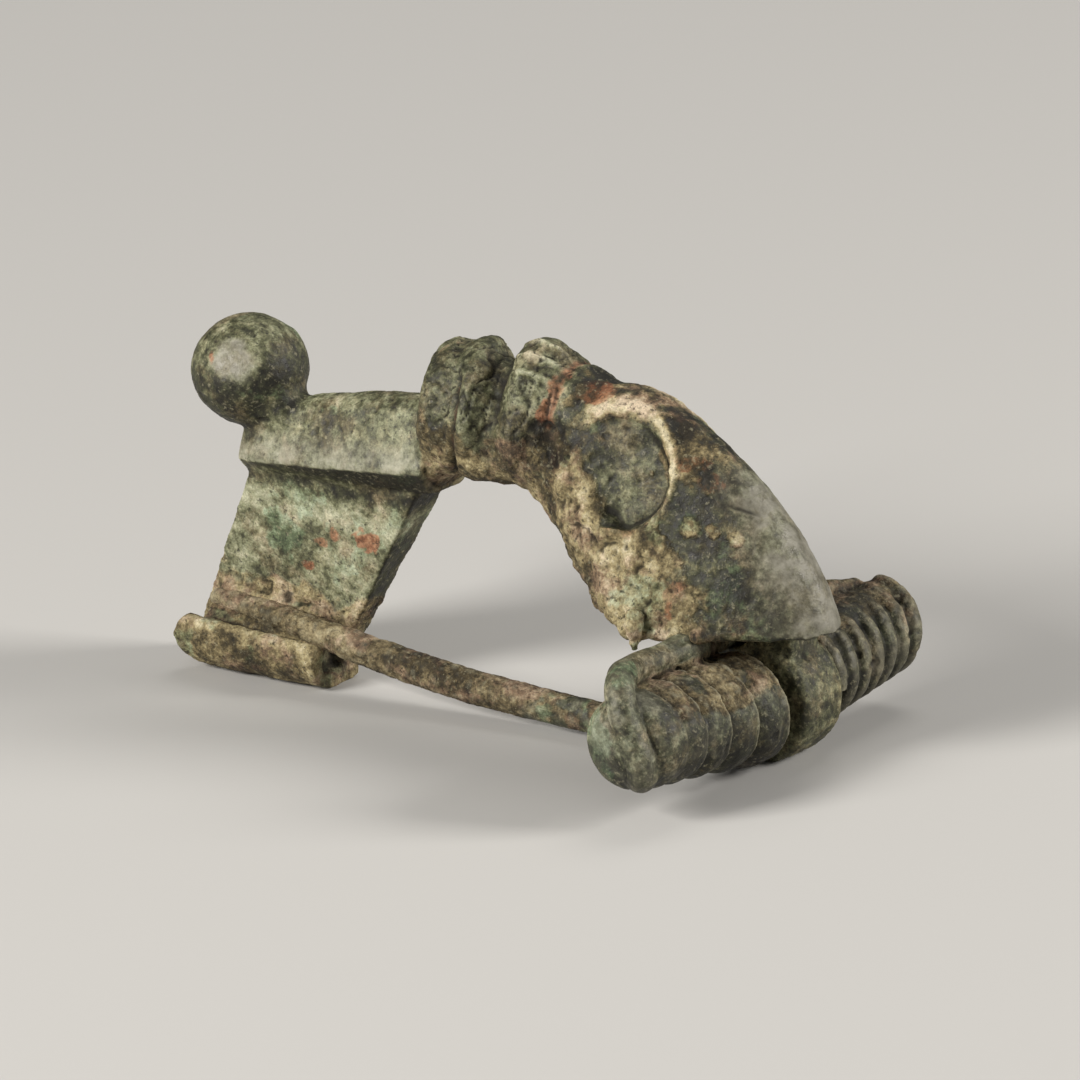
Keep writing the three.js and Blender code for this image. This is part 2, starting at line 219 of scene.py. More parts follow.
def streak(points, normals, start, end, width):
    """1 along a straight line on the skin between two places, fading over its width and towards its ends."""
    start, span = np.array(start), np.subtract(end, start)
    share = np.clip((points - start) @ span / (span @ span), 0, 1)
    off = points - start - share[:, None] * span
    deep = (off * normals).sum(1)
    away = np.linalg.norm(off - deep[:, None] * normals, axis=1)
    return np.exp(-((away / width) ** 2)) * np.sin(np.pi * share) ** 0.6 * (np.abs(deep) < 1.2)


def lug_share(points):
    """1 on the lug under the head, 0 elsewhere."""
    return ease(points[:, 0], 10, 11) * (1 - ease(points[:, 2], 8.3, 8.9))


def write_skin(skin, points, **shares):
    """Puts points in millimetres back on the skin, with each share as an attribute of its name."""
    skin.vertices.foreach_set("co", ((points + MIDDLE) / MM).ravel())
    for name, share in shares.items():
        skin.attributes.new(name, "FLOAT", "POINT").data.foreach_set("value", share.astype(np.float32))
    skin.polygons.foreach_set("use_smooth", np.ones(len(skin.polygons), dtype=bool))
    skin.update()


# The casting, the crust that fills the catch round the pin, the crust between pin and
# plate, the crust between the rings under the collar, and a spur of it at the head's corner.
in_catch = curve_through([(-21.3, -1.4, 2.9), (-17, -1.4, 2.5), (-13.0, -1.4, 1.8)], steps=30)
by_plate = curve_through([(-21.0, -0.6, 4.5), (-17, -0.6, 4.2), (-13.6, -0.55, 3.5)], steps=30)
collar_hem = [(0.3, -2.8, 17.0), (0.2, -1.4, 16.0), (0.1, 0.4, 15.6), (0.2, 2.2, 16.0), (0.3, 3.6, 17.0)]
under_collar = curve_through(collar_hem, steps=14)
spur = curve_through([(13.4, -5.6, 10.6), (13.6, -6.1, 9.4), (13.6, -5.9, 8.25)], steps=12)
forms = [
    solid_form(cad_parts["bow"]),
    tube(in_catch, radii=1.15, aside=(0, 1, 0)),
    tube(by_plate, radii=0.7, aside=(0, 1, 0)),
    tube(under_collar, radii=0.95, aside=(1, 0, 0)),
    tube(spur, radii=np.linspace(0.55, 0.2, len(spur)), aside=(1, 0, 0)),
]
bow = one_object("cast_bow", forms)
bow_skin = even_skin(bow, cell=0.17)
raw, bow_edges, bow_faces = read_skin(bow_skin)

# Cast edges stay crisp on the bar, catchplate and lug; the ball, collar and bow are fully
# rounded, and crust has grown the rings together low on the collar.
x, y, z = raw.T
on_bar = (1 - ease(x, -5.2, -4.2)) * (1 - ease(z, 15.6, 17.4))
on_lug = lug_share(raw)
neck = patch(raw, (-17.6, MID_PLANE, 17.2), (3.2, 3.5, 2.2), ragged=0, seed=2)
crisp = np.maximum(on_bar, on_lug) * (1 - neck)
skin = rounded(raw, bow_edges, rounds=40, pull=0.5 - 0.42 * crisp)
grown_over = ease(x, -4.8, -4.0) * (1 - ease(x, 4.5, 6.5)) * (1 - ease(z, 16.6, 18.6))
skin = skin + neck[:, None] * (relaxed(skin, bow_edges, rounds=60, pull=0.5) - skin)
skin = skin + grown_over[:, None] * (relaxed(skin, bow_edges, rounds=160, pull=0.6) - skin)
normal = outward(skin, bow_faces)
x, y, z = skin.T
side = np.sign(y - MID_PLANE)

# Where the parts of the casting are: each share is 1 on its part, 0 off it, and soft between.
# Along x the catch starts at about -23 and the head ends at about 24; z is up from the table.
on_ball = ease(z, 16.0, 17.2) * (1 - ease(x, -15.4, -14.2))
on_catch = (1 - ease(z, 3.6, 4.4)) * (1 - ease(x, -9, -8))
on_plate = (1 - ease(x, -5, -4)) * (1 - ease(z, 12.6, 13.4)) * (1 - on_catch)
# The plate's face towards the collar, which the tone below darkens as painted shade.
plate_end_shade = on_plate * ease(normal[:, 0], 0.4, 0.8)
on_collar = ease(x, -5.0, -4.2) * (1 - ease(x, 5.2, 6.6)) * ease(z, 13, 14)
on_bow = ease(x, 5.2, 6.8) * ease(z, 8.4, 8.8)

# The scoop in each flank: a round hollow with a crisp wall towards the head, open towards
# the collar, a pale worn swelling over its upper edge and a fold of crust at its lower one.
SCOOP = {"centre": (10.5, 3.41, 18.05), "axis": (0.212, 0.944, 0.254), "radius": 3.35, "depth": 0.6}
both_flanks = np.stack([np.ones_like(x), side, np.ones_like(x)], 1)
towards = skin - (0, MID_PLANE, 0) - SCOOP["centre"] * both_flanks
axis = SCOOP["axis"] * both_flanks
height = (towards * axis).sum(1)
off_axis = np.linalg.norm(towards - height[:, None] * axis, axis=1)
near_scoop = np.abs(height) < 2.2
clockwise = np.degrees(np.arctan2(towards[:, 0], towards[:, 2]))  # round the scoop, 0 on top
open_side = ease(clockwise, -179, -150) * (1 - ease(clockwise, -42, -18)) * ease(off_axis, 0.8, 2.6)
opening = open_side * (1 - ease(off_axis, 4.8, 5.8)) * near_scoop  # where crust hides the edge
skin = skin + opening[:, None] * (relaxed(skin, bow_edges, rounds=120, pull=0.6) - skin)
floor = -SCOOP["depth"] - 0.05 * lattice(skin, size=1.3, seed=5) - 0.12 * ease(towards[:, 0], -1, 3)
inside = (1 - ease(off_axis, SCOOP["radius"] - 0.08, SCOOP["radius"] + 0.08)) * (np.abs(height) < 1.6)
inside = inside * (1 - open_side)
skin = skin + (inside * np.minimum(floor - height, 0))[:, None] * axis
upper_edge = ease(clockwise, -75, -25) * (1 - ease(clockwise, 75, 150)) * near_scoop
rib_width = 0.58 - 0.34 * ease(clockwise, -10, 80)
rib_middle = SCOOP["radius"] + 0.15 + rib_width
rib = np.exp(-(((off_axis - rib_middle) / rib_width) ** 2)) * upper_edge
in_scoop = inside * (height < 0.3)

# Crusts of earth and corrosion products: low on the plate, in the catch, under the flank, low
# on the collar and along the crest, with a cream patch and a few flecks on the near flank.
wander = cloud(skin, size=2.2, seed=11)
low_plate = on_plate * (1 - ease(z - 5.6 + 0.06 * (x + 15) - 1.3 * wander, -1.0, 1.0))
under_flank = on_bow * (1 - ease(z + 0.75 * x - 23.8 - 2.2 * wander, -2.0, 2.0)) * (1 - in_scoop)
low_collar = on_collar * (1 - ease(z - 19.2 - 1.8 * wander, -1.8, 1.6))
on_lug = lug_share(skin)
along_crest = [
    0.9 * patch(skin, (7.6, -0.9, 22.0), (2.6, 1.8, 1.1), ragged=0.5, seed=115),
    0.9 * patch(skin, (14.6, -1.5, 19.2), (2.6, 1.4, 1.5), ragged=0.6, seed=117),
    0.6 * patch(skin, (12.5, -0.3, 21.3), (3.2, 0.9, 1.2), ragged=0.8, seed=119),
]
beige = np.maximum.reduce(along_crest)
cream = patch(skin, (13.0, -3.9, 13.8), (1.9, 1.2, 1.6), ragged=0.6, seed=107)
fleck_places = [((15.7, -2.8, 15.5), 0.6), ((17.3, -2.4, 15.3), 0.5), ((18.5, -2.0, 14.9), 0.5)]
flecks = sum(
    patch(skin, centre, reach, ragged=0.5, seed=109 + 2 * i) for i, (centre, reach) in enumerate(fleck_places)
)
crust = low_plate + 0.95 * on_catch + under_flank + 0.85 * low_collar + 0.35 * on_lug + 0.6 * rib
crust = np.clip(crust + beige + cream + flecks + 0.3 * on_bow * (1 - in_scoop), 0, 1)

# Cuprite, orange to brick red, where the green skin has flaked off: small patches with soft
# edges, each given by its centre, its reach and how full it is.
cuprite_spots = [
    ((7.4, -0.7, 22.4), (1.5, 1.0, 0.8), 1.0),
    ((5.0, -1.7, 22.5), (0.5, 1.0, 0.9), 0.9),
    ((4.7, -2.7, 20.8), (0.45, 0.9, 1.1), 1.0),
    ((13.7, -1.9, 19.3), (1.0, 0.8, 0.7), 0.75),
    ((15.2, -1.3, 19.0), (1.3, 0.8, 0.8), 0.8),
    ((16.6, -1.3, 18.1), (1.1, 0.7, 0.6), 0.65),
    ((15.7, -4.0, 11.9), (0.9, 0.8, 0.9), 0.7),
    ((15.3, -4.7, 10.4), (0.35, 0.8, 0.9), 1.0),
    ((11.3, -3.5, 14.7), (1.2, 0.8, 0.4), 0.6),
    ((-9.7, -1.0, 9.6), (1.1, 1.0, 0.8), 1.3),
    ((-12.3, -1.0, 9.7), (0.5, 1.0, 0.4), 0.9),
    ((-13.3, -1.0, 9.0), (0.5, 1.0, 0.35), 0.8),
    ((-14.5, -1.0, 7.3), (0.5, 1.0, 0.3), 1.0),
    ((-19.9, -2.7, 20.3), (0.4, 1.0, 0.8), 0.8),
    ((-3.4, -0.6, 23.2), (0.9, 1.0, 0.5), 0.5),
    ((8.0, 3.0, 21.0), (1.2, 1.2, 1.2), 0.8),
    ((17.5, 4.0, 14.0), (1.2, 1.2, 1.0), 0.8),
    ((-12.0, 1.2, 8.0), (1.1, 1.0, 0.9), 1.0),
]
cuprite = np.zeros_like(x)
for i, (centre, reach, share) in enumerate(cuprite_spots):
    cuprite = np.maximum(cuprite, share * patch(skin, centre, reach, ragged=0.7, seed=20 + i))

# Worn, paler and smoother skin on what a hand or cloth rubs: ball, bar edges and bow front; on the ball's
# patches and the bow's front this paleness is partly painted highlight.
front_wear_and_highlight = on_bow * ease(normal[:, 0] + 0.3 * normal[:, 2] + 0.05 * wander, 0.42, 0.76) * ease(x, 16, 17.5)
front_wear_and_highlight = front_wear_and_highlight * (1 - 0.8 * ease(z - 17.5 - wander, -0.5, 1.5))
bar_face = (1 - ease(x, -5.2, -4.2)) * ease(z, 13.2, 13.8) * (1 - on_ball)
# The bar's downward faces get painted shade, not wear.
bar_underside_shade = bar_face * ease(-normal[:, 2], 0.2, 0.5)
bar_face = bar_face - bar_underside_shade
# Two pale patches on the ball: painted highlights where the lights catch it, partly real wear.
highlight_and_wear = patch(skin, (-18.2, -2.7, 20.2), (1.5, 1.2, 1.4), ragged=0.25, seed=101)
highlight_and_wear = np.maximum(highlight_and_wear, 0.8 * patch(skin, (-14.8, -0.8, 20.6), (1.0, 1.2, 1.5), ragged=0.25, seed=103))
wear = np.clip(front_wear_and_highlight + 0.6 * bar_face * (1 - ease(z - 0.12 * x, 16.4, 18.2)) + on_ball * highlight_and_wear, 0, 1)

# Relief: a soft casting skin, crumbs of crust parted by creases, ragged concretion under the
# flank, scattered pits, a dip between collar and scoop that the tone darkens as painted shade, and a fold
# below the scoop.
relief = 0.05 * cloud(skin, size=1.3, seed=3) * (1 - 0.85 * wear)
crumbs = np.abs(lattice(skin, size=1.0, seed=31)) + 0.6 * np.abs(lattice(skin, size=0.55, seed=33))
relief += crust * (0.2 * crumbs - 0.07) * (1 - 0.6 * on_catch)
relief += under_flank * (0.05 + 0.22 * np.abs(cloud(skin, size=2.0, seed=41))) * (0.4 + 0.6 * (1 - on_lug))
pitting = lattice(skin, size=0.6, seed=61) + 0.4 * lattice(skin, size=2.5, seed=62)
pits = ease(pitting, 0.6, 0.95) * (1 - crust)
relief -= 0.1 * pits * (1 - 0.7 * np.maximum(wear, on_plate))
relief += 0.24 * rib
dip = patch(skin, (5.4, -3.0, 19.0), (1.9, 1.3, 1.5), ragged=0.4, seed=71)
fold = streak(skin, normal, (8.9, -3.2, 16.6), (12.9, -3.8, 14.0), width=0.35)
relief -= 0.28 * dip + 0.2 * fold
relief += 0.3 * patch(skin, (9.6, -3.6, 14.9), (1.7, 1.0, 0.9), ragged=0.3, seed=73)

# The collar: its oblique rings and grooves lie at fixed places along its own slanting length.
# Thick patina on the rings has shrunk and cracked, and three lengthwise ridges cross the knob.
along_collar = x + 0.38 * (y - MID_PLANE) * (1 - ease(x, 0.5, 4)) - 0.1 * (z - 19)
crevice = on_collar * np.exp(-(((along_collar + 2.85) / 0.2) ** 2)) * (1 - ease(z, 21.6, 22.8))
notch = on_collar * np.exp(-(((along_collar - 0.25) / 0.36) ** 2)) * ease(z, 18.5, 21.5)
ring_face = on_collar * ease(z, 18.5, 20.5) * (1 - crevice) * (1 - notch)
behind_ring = on_collar * np.exp(-(((along_collar - 5.0) / 0.5) ** 2)) * ease(z, 17, 19)
relief -= 0.32 * crevice + 0.22 * notch + 0.26 * behind_ring
relief += 0.24 * on_collar * np.exp(-(((along_collar + 3.0) / 0.5) ** 2)) * ease(z, 21.6, 23.0)
split = cracks(skin, (1.0, 0.35, 0.35), size=1.0, seed=51, width=0.06)
split = split + 0.8 * cracks(skin, (0.3, 1.0, 1.0), size=0.9, seed=53, width=0.05)
split = np.clip(split, 0, 1) * on_collar * ease(z, 18, 20)
relief += on_collar * 0.06 * cloud(skin, size=1.0, seed=55, octaves=3) - 0.17 * split
ridge_lines = [
    ((1.9, -0.3, 24.0), (5.0, 0.4, 23.8)),
    ((1.5, -1.2, 23.6), (5.4, -0.8, 23.4)),
    ((2.4, -2.1, 23.0), (5.0, -1.8, 22.7)),
]
ridges = sum(streak(skin, normal, start, end, width=0.2) for start, end in ridge_lines)
relief += 0.34 * ridges
skin = skin + relief[:, None] * normal

# A shallow scratch across the near flank.
scratch = streak(skin, normal, (17.5, -1.8, 17.1), (19.5, -0.5, 16.1), width=0.17)
skin = skin - 0.16 * scratch[:, None] * normal
skin[:, 2] = np.maximum(skin[:, 2], LOWEST)

# The finished skin is marked darker where it lies lower than its surroundings and paler on its edges.
smooth = relaxed(skin, bow_edges, rounds=12, pull=0.6)
depth = ((smooth - skin) * outward(skin, bow_faces)).sum(1)
hollow = np.clip(depth / 0.09, -1, 1)
hollow = np.maximum.reduce([hollow, 0.8 * scratch, 0.8 * split, 0.8 * crevice, 0.45 * dip])
red_crevice = crevice * ease(z, 16.5, 18)
red_groove = behind_ring * ease(z, 19.5, 20.5)
cuprite = np.maximum.reduce([cuprite, 0.9 * red_crevice, 0.9 * red_groove])
thin_green = 0.6 * ease(cloud(skin, size=2.4, seed=79), 0.45, 0.8) * (1 - wear) * (1 - 0.8 * on_collar)
green_spots = [
    0.8 * patch(skin, (-16.3, -1.0, 9.0), (1.6, 1.5, 1.2), ragged=0.7, seed=75),
    0.5 * on_plate * ease(cloud(skin, size=2.4, seed=77), 0.25, 0.7),
    thin_green,
]
verdigris = np.maximum.reduce(green_spots)
pale_band = on_plate * np.exp(-(((z - 10.9 - 0.5 * wander) / 0.9) ** 2))
lip_edge = on_catch * streak(skin, normal, (-23.4, -3.5, 3.5), (-11.8, -3.2, 3.1), width=0.6)
olive_spot = patch(skin, (13.6, -0.6, 20.7), (1.1, 0.9, 1.0), ragged=0.4, seed=105) * (1 - rib)

# How much paler (above 0) or darker (below 0) than its patina each place is, painted highlights and painted
# shade included.
tone = (
    # painted highlight, partly real wear, on the ball's two pale patches
    1.3 * highlight_and_wear
    # painted shade on the ball's lower right side, away from the key light
    - 0.9 * on_ball * (1 - highlight_and_wear) * ease(0.4 * (x + 17.2) - (z - 20.0), -0.6, 0.8)
    + bar_face * (0.3 + 0.8 * (1 - ease(z - 0.12 * x, 16.2, 17.4)))
    # painted shade on the bar's downward faces
    - bar_underside_shade * (1.0 + 0.8 * ease(x, -15, -7))
    + 0.5 * on_plate
    + 1.1 * pale_band
    # painted shade: the plate's top under the bar and its end towards the collar made darker
    - 1.2 * on_plate * ease(z, 11.8, 12.8)
    - 1.4 * plate_end_shade
    + 1.5 * lip_edge
    # partly painted highlight, partly real wear, on the bow's front
    + 0.7 * front_wear_and_highlight
    - on_bow * (1 - front_wear_and_highlight) * (1 - rib) * (1 - under_flank) * (1 - in_scoop) * (1 - beige)
    + 0.2 * ring_face
    + 2.3 * rib
    + 0.3 * beige
    + 1.8 * ridges
    - 0.2 * in_scoop
    + 0.8 * under_flank * (1 - ease(np.abs(z + 0.75 * x - 21.5) - wander, 1.5, 4.0))
    + 0.3 * low_plate
    - 0.3 * low_collar
    # painted shade in the dip between collar and scoop
    - 1.4 * dip
    + 0.9 * cream
    + 1.3 * flecks
    # painted shade: the lug, under the head, made a little darker
    - 0.2 * on_lug
    - 1.6 * olive_spot
)
write_skin(
    bow_skin,
    skin,
    crust=crust,
    cuprite=cuprite,
    wear=wear,
    hollow=hollow,
    verdigris=verdigris,
    tone=tone,
)

# Cast bronze patina. A tin bronze's grey-green corrosion skin is a hard mineral, not bare
# metal: satin, mottled from dark olive to pale grey, under a duller and grainier brown crust.


def linear(code):
    """A hex sRGB colour as linear red, green, blue and 1."""
    s = np.array([int(code[i : i + 2], 16) for i in (1, 3, 5)]) / 255
    return (*np.where(s <= 0.04045, s / 12.92, ((s + 0.055) / 1.055) ** 2.4), 1.0)


def add(tree, kind, inputs=(), out=0, stops=(), **settings):
    """A new node with its settings and colour stops; an input is linked to a socket or given a value."""
    made = tree.nodes.new("ShaderNode" + kind)
    for name, value in settings.items():
        setattr(made, name, value)
    for key, value in dict(inputs).items():
        if isinstance(value, bpy.types.NodeSocket):
            tree.links.new(value, made.inputs[key])
        else:
            made.inputs[key].default_value = value
    for i, (place, code) in enumerate(stops):
        band = made.color_ramp.elements
        element = band[i] if i < 2 else band.new(place)
        element.position = place
        element.color = linear(code)
    return made.outputs[out] if made.outputs else made


def patina(name, skin, earth, rough):
    """Mottled mineral skin, with earth crust, green, worn places and painted highlights, cuprite, and darker
    hollows and paler ridges laid over it in turn.

    Inputs go by number: Math 0 * 1 + 2; Map Range 0 from 1..2 to 3..4; Mix 0 the share of 7 over 6.
    """
    made = bpy.data.materials.new(name)
    made.use_nodes = True
    tree = made.node_tree
    tree.nodes.clear()
    blend = {"out": 2, "data_type": "RGBA"}
    weigh = {"operation": "MULTIPLY_ADD"}
    soft = {"interpolation_type": "SMOOTHSTEP"}
    layers = ("crust", "cuprite", "wear", "hollow", "verdigris", "tone")
    crust, cuprite, wear, hollow, verdigris, tone = (
        add(tree, "Attribute", out="Fac", attribute_name=layer) for layer in layers
    )

    # Sizes of mottling in millimetres, with their detail: broad clouds, blotches of shade,
    # blotches of hue, speckle, crumbs and grit. Real grit is finer, and is drawn as coarse as shows.
    place = add(tree, "TexCoord", out="Object")
    sizes = ((6.0, 3), (1.7, 5), (2.6, 5), (0.55, 4), (0.3, 2), (0.15, 2))
    broad, mottle, hue, fine, crumb, grit = (
        add(
            tree,
            "TexNoise",
            {"Vector": place, "W": 3.7 * order, "Scale": MM / size, "Detail": detail, "Roughness": 0.7},
            noise_dimensions="4D",
        )
        for order, (size, detail) in enumerate(sizes)
    )

    # The shade from dark to pale: each place's tone, which includes painted highlights and painted shade,
    # with clouds, blotches and speckle.
    shade = add(tree, "Math", {0: tone, 1: 0.11, 2: -0.25}, **weigh)
    shade = add(tree, "Math", {0: broad, 1: 0.35, 2: shade}, **weigh)
    shade = add(tree, "Math", {0: mottle, 1: 0.6, 2: shade}, **weigh)
    shade = add(tree, "Math", {0: fine, 1: 0.55, 2: shade}, **weigh)
    colour = add(tree, "ValToRGB", {0: shade}, stops=skin)

    # Olive-brown and pinkish blotches in the grey-green.
    warmth = add(tree, "MapRange", {0: hue, 1: 0.47, 2: 0.62, 4: 0.6}, **soft)
    olive = add(tree, "ValToRGB", {0: shade}, stops=((0.38, "#241f12"), (0.52, "#665a3f"), (0.7, "#b0a184")))
    colour = add(tree, "Mix", {0: warmth, 6: colour, 7: olive}, **blend)

    # Earth and corrosion: a thin brown veil in clouds, and a full crust where it has grown.
    veil = add(tree, "MapRange", {0: mottle, 1: 0.5, 2: 0.7, 3: 0, 4: 0.35}, **soft)
    grown = add(tree, "Math", {0: mottle, 1: 1.8, 2: -0.9}, **weigh)
    grown = add(tree, "Math", {0: grown, 1: crust})
    grown = add(tree, "MapRange", {0: grown, 1: 0.25, 2: 0.8}, **soft)
    grown = add(tree, "Math", {0: grown, 1: veil}, operation="MAXIMUM")
    earthy = add(tree, "ValToRGB", {0: shade}, stops=earth)
    pink = add(tree, "MapRange", {0: hue, 1: 0.48, 2: 0.6, 4: 0.6}, **soft)
    tinted = add(tree, "ValToRGB", {0: shade}, stops=((0.38, "#3a2a20"), (0.53, "#8b705c"), (0.7, "#cdb6a0")))
    earthy = add(tree, "Mix", {0: pink, 6: earthy, 7: tinted}, **blend)
    colour = add(tree, "Mix", {0: grown, 6: colour, 7: earthy}, **blend)

    # Verdigris: powdery green carbonate in speckled spots.
    green = add(tree, "Math", {0: fine, 1: 1.4, 2: -0.7}, **weigh)
    green = add(tree, "Math", {0: green, 1: verdigris})
    green = add(tree, "MapRange", {0: green, 1: 0.2, 2: 0.9, 4: 0.6}, **soft)
    greens = ((0.38, "#26301f"), (0.53, "#5f7353"), (0.7, "#a3b89b"))
    mineral = add(tree, "ValToRGB", {0: shade}, stops=greens)
    colour = add(tree, "Mix", {0: green, 6: colour, 7: mineral}, **blend)

    # Rubbed skin, and the painted highlights that share its mask: an even satin grey with a trace of metal.
    rubbed_and_sheen = add(tree, "MapRange", {0: mottle, 1: 0.38, 2: 0.58, 3: 0.45}, **soft)
    rubbed_and_sheen = add(tree, "Math", {0: rubbed_and_sheen, 1: wear}, operation="MULTIPLY")
    satin = add(tree, "ValToRGB", {0: shade}, stops=((0.45, "#5c594d"), (0.6, "#7b786b"), (0.78, "#9c998c")))
    colour = add(tree, "Mix", {0: rubbed_and_sheen, 6: colour, 7: satin}, **blend)

    # Flaked spots, where the red cuprite under the green shows.
    flaked = add(tree, "Math", {0: mottle, 1: 1.6, 2: -0.8}, **weigh)
    flaked = add(tree, "Math", {0: fine, 1: 1.2, 2: flaked}, **weigh)
    flaked = add(tree, "Math", {0: flaked, 1: cuprite})
    flaked = add(tree, "MapRange", {0: flaked, 1: 0.95, 2: 1.7, 4: 0.85}, **soft)
    red = add(tree, "ValToRGB", {0: shade}, stops=((0.38, "#33200f"), (0.53, "#7d4a30"), (0.7, "#b5805d")))
    colour = add(tree, "Mix", {0: flaked, 6: colour, 7: red}, **blend)

    # Pale flecks and dark gaps between crumbs, then darker hollows and paler ridges.
    flat = add(tree, "Math", {0: 1.0, 1: rubbed_and_sheen}, operation="SUBTRACT")
    fleck = add(tree, "MapRange", {0: crumb, 1: 0.55, 2: 0.72, 4: 0.45}, **soft)
    fleck = add(tree, "Math", {0: fleck, 1: flat}, operation="MULTIPLY")
    colour = add(tree, "Mix", {0: fleck, 6: colour, 7: linear("#a39d80")}, **blend)
    gap = add(tree, "MapRange", {0: crumb, 1: 0.44, 2: 0.3, 4: 0.75}, **soft)
    gap = add(tree, "Math", {0: gap, 1: flat}, operation="MULTIPLY")
    colour = add(tree, "Mix", {0: gap, 6: colour, 7: linear("#1d1a11")}, **blend)
    hollow_dark = add(tree, "Math", {0: fine, 1: 1.2, 2: -0.6}, **weigh)
    hollow_dark = add(tree, "Math", {0: hollow_dark, 1: hollow})
    hollow_dark = add(tree, "MapRange", {0: hollow_dark, 1: 0.1, 2: 0.95, 4: 0.85}, **soft)
    colour = add(tree, "Mix", {0: hollow_dark, 6: colour, 7: linear("#15120b")}, **blend)
    ridge = add(tree, "MapRange", {0: hollow, 1: -0.15, 2: -0.95, 4: 0.5}, **soft)
    colour = add(tree, "Mix", {0: ridge, 6: colour, 7: linear("#aaa489")}, **blend)
    speck = add(tree, "MapRange", {0: grit, 1: 0.36, 2: 0.64, 3: 0.78, 4: 1.18}, **soft)
    speck = add(tree, "CombineColor", {0: speck, 1: speck, 2: speck})
    colour = add(tree, "Mix", {0: flat, 6: colour, 7: speck}, blend_type="MULTIPLY", **blend)

    # Roughness and fine relief: crust and the darker hollows are dull and grainy, rubbed and highlighted
    # places satin and smooth.
    matt = add(tree, "MapRange", {0: fine, 1: 0.35, 2: 0.65, 3: rough - 0.05, 4: rough + 0.12})
    matt = add(tree, "Math", {0: grown, 1: 0.28, 2: matt}, **weigh)
    matt = add(tree, "Math", {0: rubbed_and_sheen, 1: -0.14, 2: matt}, **weigh)
    matt = add(tree, "Math", {0: hollow_dark, 1: 0.3, 2: matt}, **weigh)
    metal = add(tree, "Math", {0: rubbed_and_sheen, 1: 0.12}, operation="MULTIPLY")
    grain = add(tree, "MapRange", {0: grown, 3: 0.6, 4: 1.3})
    grain = add(tree, "Math", {0: grain, 1: flat}, operation="MULTIPLY")
    height = add(tree, "Math", {0: fine, 1: crumb})
    height = add(tree, "Math", {0: grit, 1: 0.4, 2: height}, **weigh)
    height = add(tree, "Math", {0: height, 1: grain}, operation="MULTIPLY")
    bump = add(tree, "Bump", {"Height": height, "Distance": 0.1 / MM, "Strength": 0.9})
    surface = {"Base Color": colour, "Roughness": matt, "Metallic": metal, "Normal": bump, "IOR": 1.48}
    add(tree, "OutputMaterial", {"Surface": add(tree, "BsdfPrincipled", surface)})
    return made


bronze_patina = patina(
    "cast bronze patina",
    skin=((0.34, "#16150b"), (0.45, "#383924"), (0.52, "#5d5e43"), (0.6, "#898b6d"), (0.74, "#bdbda1")),
    earth=((0.34, "#251f12"), (0.45, "#4b422b"), (0.52, "#786b4c"), (0.6, "#a2956f"), (0.74, "#d6cbaa")),
    rough=0.56,
)
bow_skin.materials.append(bronze_patina)
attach(bow, "root")
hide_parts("bow")

# ---- The spring and pin ----
# One bronze wire: the straight pin, broad coils wound from it beside the lug, a loop up
# across their end, the chord back under the head, and thin coils beyond the lug. Earth and
# corrosion have filled the coils and grown over their tops and along the pin.

SPRING_X = 17.8  # the spring's axis
SHIFT_Y = 0.388  # y of the middle plane that the wire's places are given from
LOOP_X = 17.5  # x that the end loop and chord are given from
NEAR = {
    "start": -2.0,
    "pitch": 3.22,
    "narrowing": 0.18,  # how much the pitch shrinks
    "turns": 5,
    "lead": 0.2,  # how far the tops lie back towards the lug, in pitches
    "axis_z": 3.75,
    "rise": 1.25,  # of the axis towards the end
    "radius": 3.55,
    "taper": 0.5,  # of the radius towards the end
}
FAR = {"start": 13.6, "length": 8.4, "turns": 6.3, "wire": 0.6, "radius": 3.1, "axis_z": 4.8, "fall": 0.9}


def coil(turns, first_angle, at, per_turn=44):
    """Points along a coil, angle 0 underneath: at(turn, share) gives place, axis height and radius."""
    share_along = np.linspace(0, 1, int(abs(turns) * per_turn) + 1)
    turn = turns * share_along
    angle = first_angle + 2 * np.pi * turn
    y, axis_z, radius = at(np.abs(turn), share_along)
    return np.stack([SPRING_X + radius * np.sin(angle), y + SHIFT_Y, axis_z - radius * np.cos(angle)], 1)


def banded(angle):
    """A section's reach at an angle: a squarish round, hollowed a little, with a ridge towards the lug."""
    squarish = (np.abs(np.cos(angle)) ** 3 + np.abs(np.sin(angle)) ** 3) ** (-1 / 3)
    from_ridge = (angle - np.radians(318) + np.pi) % (2 * np.pi) - np.pi
    from_flat = (angle - np.radians(235) + np.pi) % (2 * np.pi) - np.pi
    return squarish + 0.3 * np.exp(-((from_ridge / 0.16) ** 2)) - 0.16 * np.exp(-((from_flat / 0.5) ** 2))


def filling(ends, axis_z, radius, top):
    """The mineral fill of a coil: a rod with domed ends, 0.75 mm slimmer below and fuller along its top."""
    along = np.linspace(0, 1, 60)
    y = ends[0] + (ends[1] - ends[0]) * along
    dome = np.sqrt(np.clip(1 - (2 * along - 1) ** 16, 0, 1))
    angle = np.linspace(0, 2 * np.pi, 64, endpoint=False)
    upper = ease(np.cos(angle + 0.35), 0.1, 0.8)[None, :]
    reach = np.interp(along, (0, 1), radius)[:, None] * dome[:, None]
    reach = reach - (1 - upper) * 0.75 * dome[:, None] + upper * top * dome[:, None]
    z = np.interp(along, (0, 1), axis_z)[:, None] + reach * np.cos(angle)
    x = SPRING_X + reach * np.sin(angle)
    rings = np.stack([x, np.broadcast_to(y[:, None], x.shape) + SHIFT_Y, z], -1)
    rings = rings if ends[0] > ends[1] else rings[:, ::-1]
    return closed_form(rings, rings[0].mean(0), rings[-1].mean(0))


def near_width(along):
    """Half the width of the broad coils, which narrow away from the lug."""
    return np.interp(along, (0, 0.3, 0.6, 1), (1.42, 1.36, 1.18, 1.05))


